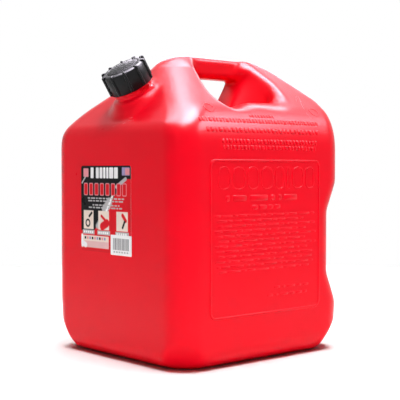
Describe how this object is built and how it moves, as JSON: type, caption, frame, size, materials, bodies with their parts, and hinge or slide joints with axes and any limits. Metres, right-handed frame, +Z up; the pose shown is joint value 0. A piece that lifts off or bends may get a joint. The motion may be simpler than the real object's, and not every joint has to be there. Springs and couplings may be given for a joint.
{
  "type": "gas can",
  "caption": "Upright plastic fuel can with hipped roof, through handle, rear grip recess, tilted neck, ribbed screw collar and a sprung spout stored in the neck.",
  "frame": {"origin": "centre of the flat base, in the tank's mould parting plane", "axes": "+Z up, -Y to the front with the neck and label, +X to the right seen from the front"},
  "size_m": [0.2604, 0.2812, 0.37],
  "materials": {
    "red_plastic": "semi-gloss, finely grained blow-moulded polyethylene",
    "label_film": "printed film",
    "sticker_film": "printed film",
    "black_plastic": "satin, finely textured",
    "rubber": "matte",
    "spout_plastic": "satin",
    "yellow_plastic": "satin",
    "steel": "drawn wire",
    "natural_plastic": "satin"
  },
  "bodies": {
    "can": {"can_body": "red_plastic", "front_label": "label_film", "barcode_sticker": "sticker_film"},
    "spout": {"spout_flange": "spout_plastic", "flange_gasket": "rubber", "spout_tube": "spout_plastic", "tube_seal": "rubber", "stem_spider": "natural_plastic", "valve_stem": "steel", "valve_plug": "spout_plastic", "plug_seal": "rubber", "vent_tube": "natural_plastic", "sleeve_spring": "steel"},
    "sleeve": {"spout_sleeve": "yellow_plastic"},
    "child_lock": {"lock_ring": "yellow_plastic"},
    "disc": {"closure_disc": "black_plastic", "disc_gasket": "rubber"},
    "collar": {"screw_collar": "black_plastic"}
  },
  "joints": [
    {"name": "spout_swivel", "type": "hinge", "parent": "can", "child": "spout", "pos_m": [0, -0.1141, 0.3412], "axis": [0, -0.5476, 0.8368], "range_deg": [-180, 180]},
    {"name": "sleeve_slide", "type": "slide", "parent": "spout", "child": "sleeve", "axis": [0, -0.5476, 0.8368], "range_m": [0, 0.018], "stiffness_N_per_m": 300, "springref_m": -0.01, "deforming": ["sleeve_spring"]},
    {"name": "lock_turn", "type": "hinge", "parent": "spout", "child": "child_lock", "pos_m": [0, -0.1141, 0.3412], "axis": [0, -0.5476, 0.8368], "range_deg": [0, 45]},
    {"name": "collar_rise", "type": "slide", "parent": "can", "child": "disc", "axis": [0, -0.5476, 0.8368], "range_m": [0, 0.0076]},
    {"name": "collar_turn", "type": "hinge", "parent": "disc", "child": "collar", "pos_m": [0, -0.1141, 0.3412], "axis": [0, -0.5476, 0.8368], "range_deg": [0, 450]}
  ],
  "couplings": [
    {"joint": "collar_rise", "follows": "collar_turn", "m_per_rad": 0.00095493}
  ]
}
